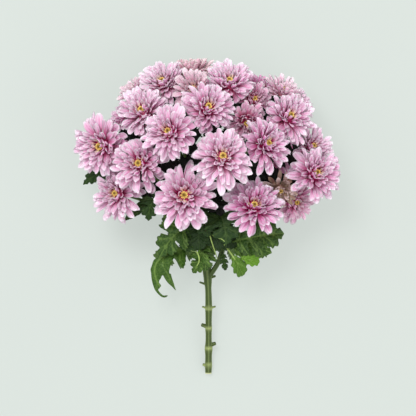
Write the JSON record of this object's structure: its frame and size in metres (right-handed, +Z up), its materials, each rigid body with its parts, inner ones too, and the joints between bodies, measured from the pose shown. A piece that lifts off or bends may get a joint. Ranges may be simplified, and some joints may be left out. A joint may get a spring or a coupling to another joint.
{
  "type": "multi-bloom chrysanthemum stem",
  "caption": "Cut spray chrysanthemum lying on its side: a branched stem with lobed leaves and a broad domed head of pale pink double blooms with yellow eyes.",
  "frame": {"origin": "on the surface that the stem lies on, under the middle of the bounding box", "axes": "+Y along the stem from its cut end to the top of the head, +Z up from the surface to the side that faces the camera, +X to the right of the head as it is looked down on"},
  "size_m": [0.2288, 0.2786, 0.1348],
  "materials": {
    "petal": "matt",
    "eye": "matt",
    "foliage": "matt"
  },
  "bodies": {
    "root": {"leafy_stem": "foliage", "bloom_01": "petal", "bloom_02": "petal", "bloom_03": "petal", "bloom_04": "petal", "bloom_05": "petal", "bloom_06": "petal", "bloom_07": "petal", "bloom_08": "petal", "bloom_09": "petal", "bloom_10": "petal", "bloom_11": "petal", "bloom_12": "petal", "bloom_13": "petal", "bloom_14": "petal", "bloom_15": "petal", "bloom_16": "petal", "bloom_17": "petal", "bloom_18": "petal", "bloom_19": "petal", "bloom_20": "petal", "bloom_21": "petal", "bloom_22": "petal", "bloom_23": "petal", "bloom_24": "petal", "bloom_25": "petal", "bloom_26": "petal", "bloom_27": "petal", "bloom_28": "petal", "bloom_29": "petal", "eye_01": "eye", "eye_02": "eye", "eye_03": "eye", "eye_04": "eye", "eye_05": "eye", "eye_06": "eye", "eye_07": "eye", "eye_08": "eye", "eye_09": "eye", "eye_10": "eye", "eye_11": "eye", "eye_12": "eye", "eye_13": "eye", "eye_14": "eye", "eye_15": "eye", "eye_16": "eye", "eye_17": "eye", "eye_18": "eye", "eye_19": "eye", "eye_20": "eye", "eye_21": "eye", "eye_22": "eye", "eye_23": "eye", "eye_24": "eye", "eye_25": "eye", "eye_26": "eye", "eye_27": "eye", "eye_28": "eye", "eye_29": "eye"}
  },
  "joints": []
}
